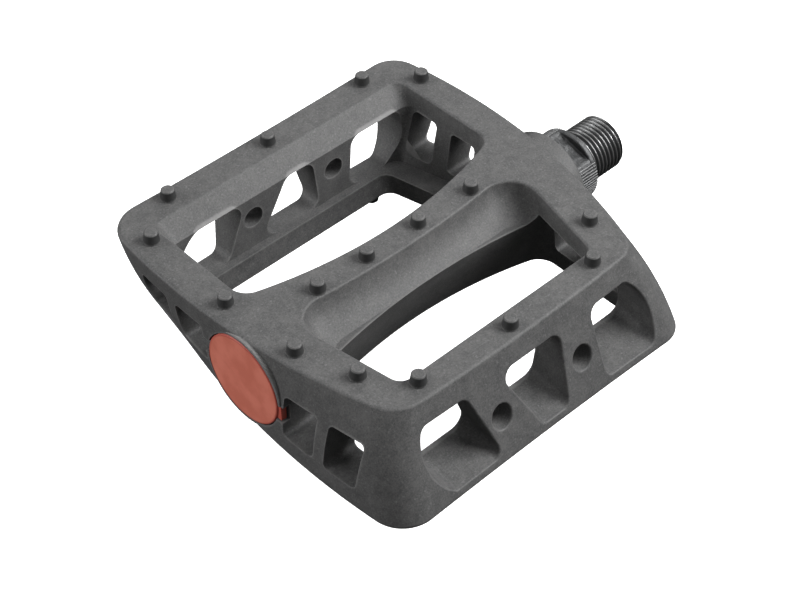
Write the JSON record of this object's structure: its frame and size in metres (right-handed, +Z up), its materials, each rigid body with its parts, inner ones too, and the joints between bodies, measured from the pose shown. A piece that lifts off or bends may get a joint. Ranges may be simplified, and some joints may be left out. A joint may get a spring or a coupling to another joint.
{
  "type": "flat pedal",
  "caption": "Bicycle platform pedal: twisted moulded cage with moulded grip pins, turning on loose-ball bearings round a threaded steel spindle, with a round end cap.",
  "frame": {"origin": "on the spindle's axis at the shoulder that meets the crank arm", "axes": "+X along the spindle into the crank, platform at -X; +Z up, square to the top tread; +Y towards the top face's long rail"},
  "size_m": [0.1189, 0.1004, 0.0312],
  "materials": {
    "moulded_nylon": "fine moulded texture, dark grey",
    "black_steel": "black oxide, oiled",
    "bearing_steel": "ground and hardened",
    "ball_steel": "polished",
    "zinc_steel": "zinc plated",
    "seal_rubber": "matt",
    "red_plastic": "satin red"
  },
  "bodies": {
    "spindle": {"spindle": "black_steel", "outboard_cone": "bearing_steel", "lock_washer": "zinc_steel", "lock_nut": "zinc_steel"},
    "platform": {"platform": "moulded_nylon", "inboard_cup": "bearing_steel", "outboard_cup": "bearing_steel", "dust_seal": "seal_rubber", "end_cap": "red_plastic"},
    "inboard_ball_row": {"inboard_balls": "ball_steel"},
    "outboard_ball_row": {"outboard_balls": "ball_steel"}
  },
  "joints": [
    {"name": "platform_spin", "type": "hinge", "parent": "spindle", "child": "platform", "pos_m": [-0.0585, 0, 0], "axis": [1, 0, 0], "continuous": true},
    {"name": "inboard_balls_roll", "type": "hinge", "parent": "spindle", "child": "inboard_ball_row", "pos_m": [-0.019, 0, 0], "axis": [1, 0, 0], "continuous": true},
    {"name": "outboard_balls_roll", "type": "hinge", "parent": "spindle", "child": "outboard_ball_row", "pos_m": [-0.092, 0, 0], "axis": [1, 0, 0], "continuous": true}
  ],
  "couplings": [
    {"joint": "inboard_balls_roll", "follows": "platform_spin", "ratio": 0.624},
    {"joint": "outboard_balls_roll", "follows": "platform_spin", "ratio": 0.624}
  ]
}
